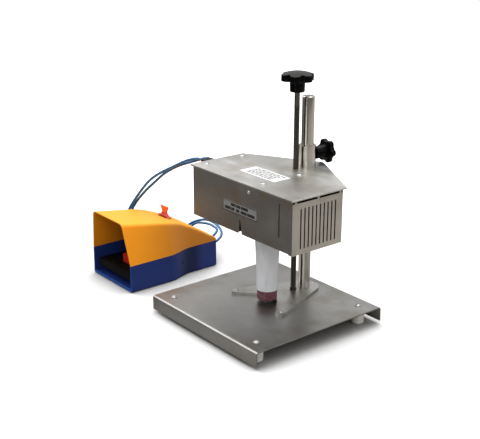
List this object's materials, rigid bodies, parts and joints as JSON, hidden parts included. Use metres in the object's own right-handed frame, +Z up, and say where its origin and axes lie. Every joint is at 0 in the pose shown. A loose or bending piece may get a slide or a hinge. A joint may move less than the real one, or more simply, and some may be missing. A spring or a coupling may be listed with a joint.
{
  "type": "impulse heat sealer",
  "caption": "Bench impulse heat sealer for plastic tubes: jaw head on a height-adjusted column over a steel base with a tube nest, and a guarded pneumatic foot valve on two hoses.",
  "frame": {"origin": "middle of the box of the machine and its foot valve without the hoses, on the surface that they stand on", "axes": "+Z up; +X to the operator's right, along the row's longest side; +Y to the rear"},
  "size_m": [0.6479, 0.329, 0.5035],
  "materials": {
    "base_steel": "fine satin grain",
    "plate_steel": "satin",
    "lid_steel": "bead blasted satin",
    "front_steel": "satin",
    "side_steel": "satin",
    "ground_steel": "ground",
    "screw_steel": "bright",
    "thread_steel": "blackened thread",
    "bush_bronze": "machined",
    "nest_plastic": "matt",
    "cap_plastic": "matt speckle",
    "tube_plastic": "soft gloss",
    "label_metal": "etched",
    "label_film": "film",
    "machined_aluminium": "machined",
    "transformer_iron": "varnished",
    "board": "solder mask",
    "valve_body": "satin",
    "black_plastic": "moulded",
    "knob_plastic": "moulded, dull gloss",
    "silicone": "matt",
    "ribbon_alloy": "heat tinted",
    "blade_steel": "honed",
    "foot_rubber": "matt",
    "pedal_blue": "moulded satin",
    "pedal_yellow": "moulded satin",
    "black_rubber": "matt",
    "treadle_plastic": "ribbed",
    "spring_steel": "wire",
    "latch_red": "moulded",
    "lever_orange": "moulded",
    "fitting_dark": "moulded",
    "hose_blue": "extruded polyurethane"
  },
  "bodies": {
    "base": {"base_plate": "base_steel", "rubber_feet": "foot_rubber", "base_screws": "screw_steel", "fixture_plate": "plate_steel", "fixture_screws": "screw_steel", "column": "ground_steel", "column_bolt": "screw_steel", "thrust_bush": "bush_bronze", "tube_nest": "nest_plastic", "tube_cap": "cap_plastic", "sample_tube": "tube_plastic", "pedal_base": "pedal_blue", "pedal_cover": "pedal_yellow", "pedal_pads": "black_rubber", "port_tubes": "hose_blue", "treadle_pin": "ground_steel", "treadle_spring": "spring_steel", "valve_body": "valve_body", "pedal_ports": "fitting_dark", "hose_a": "hose_blue", "hose_b": "hose_blue"},
    "head": {"top_plate": "lid_steel", "head_screws": "screw_steel", "front_panel": "front_steel", "side_panel": "side_steel", "rear_cover": "side_steel", "bottom_plate": "side_steel", "column_sleeve": "ground_steel", "screw_nut": "bush_bronze", "front_label": "label_metal", "top_label": "label_film", "jaw_cheeks": "machined_aluminium", "guide_rods": "ground_steel", "air_cylinders": "machined_aluminium", "transformer": "transformer_iron", "control_board": "board", "air_valve": "valve_body", "power_inlet": "black_plastic", "air_fittings": "black_plastic"},
    "height_screw": {"leadscrew": "thread_steel", "height_knob": "knob_plastic"},
    "clamp_knob": {"clamp_screw": "screw_steel", "star_knob": "knob_plastic"},
    "right_jaw": {"right_jaw_bar": "machined_aluminium", "right_rod": "ground_steel", "right_pad": "silicone", "right_ribbon": "ribbon_alloy"},
    "left_jaw": {"left_jaw_bar": "machined_aluminium", "left_rod": "ground_steel", "left_pad": "silicone", "left_ribbon": "ribbon_alloy", "cutter_actuator": "machined_aluminium"},
    "cutter": {"cutter_blade": "blade_steel", "cutter_holder": "machined_aluminium"},
    "power_switch": {"power_switch": "black_plastic"},
    "time_dial": {"time_dial": "black_plastic"},
    "treadle": {"treadle": "treadle_plastic"},
    "valve_plunger": {"valve_plunger": "ground_steel"},
    "toe_latch": {"toe_latch": "latch_red"},
    "lock_lever": {"lock_lever": "lever_orange"}
  },
  "joints": [
    {"name": "height_screw_turn", "type": "hinge", "parent": "base", "child": "height_screw", "pos_m": [0.13225, 0.0755, 0.046], "axis": [0, 0, 1], "range_deg": [-21720, 12120]},
    {"name": "head_lift", "type": "slide", "parent": "base", "child": "head", "axis": [0, 0, 1], "range_m": [-0.05, 0.09], "deforming": ["hose_a", "hose_b"]},
    {"name": "clamp_knob_turn", "type": "hinge", "parent": "head", "child": "clamp_knob", "pos_m": [0.13225, 0.106, 0.3307], "axis": [0.0523, 0.9986, 0], "range_deg": [0, 720]},
    {"name": "left_jaw_close", "type": "slide", "parent": "head", "child": "left_jaw", "axis": [1, 0, 0], "range_m": [0, 0.0202], "deforming": ["sample_tube"]},
    {"name": "right_jaw_close", "type": "slide", "parent": "head", "child": "right_jaw", "axis": [-1, 0, 0], "range_m": [0, 0.0203]},
    {"name": "cutter_stroke", "type": "slide", "parent": "left_jaw", "child": "cutter", "axis": [1, 0, 0], "range_m": [0, 0.008]},
    {"name": "power_switch_rock", "type": "hinge", "parent": "head", "child": "power_switch", "pos_m": [0.08717, 0.11716, 0.243], "axis": [0, 0, 1], "range_deg": [0, 12]},
    {"name": "time_dial_turn", "type": "hinge", "parent": "head", "child": "time_dial", "pos_m": [0.11026, 0.13329, 0.246], "axis": [-0.4819, 0.8762, 0], "range_deg": [0, 270]},
    {"name": "treadle_press", "type": "hinge", "parent": "base", "child": "treadle", "pos_m": [-0.22175, -0.004, 0.034], "axis": [1, 0, 0], "range_deg": [0, 6.5], "stiffness_Nm_per_rad": 1.2, "springref_deg": -17.19, "deforming": ["treadle_spring"]},
    {"name": "valve_stroke", "type": "slide", "parent": "base", "child": "valve_plunger", "axis": [0, 0, -1], "range_m": [0, 0.0042]},
    {"name": "toe_latch_tip", "type": "hinge", "parent": "treadle", "child": "toe_latch", "pos_m": [-0.22175, -0.105, 0.034], "axis": [-1, 0, 0], "range_deg": [0, 12], "stiffness_Nm_per_rad": 0.05, "springref_deg": -11.46},
    {"name": "lock_lever_tip", "type": "hinge", "parent": "base", "child": "lock_lever", "pos_m": [-0.22175, -0.004, 0.115], "axis": [-1, 0, 0], "range_deg": [0, 15]}
  ],
  "couplings": [
    {"joint": "height_screw_turn", "follows": "head_lift", "rad_per_m": -4188.8},
    {"joint": "right_jaw_close", "follows": "left_jaw_close", "ratio": 1},
    {"joint": "valve_stroke", "follows": "treadle_press", "m_per_rad": 0.034}
  ]
}
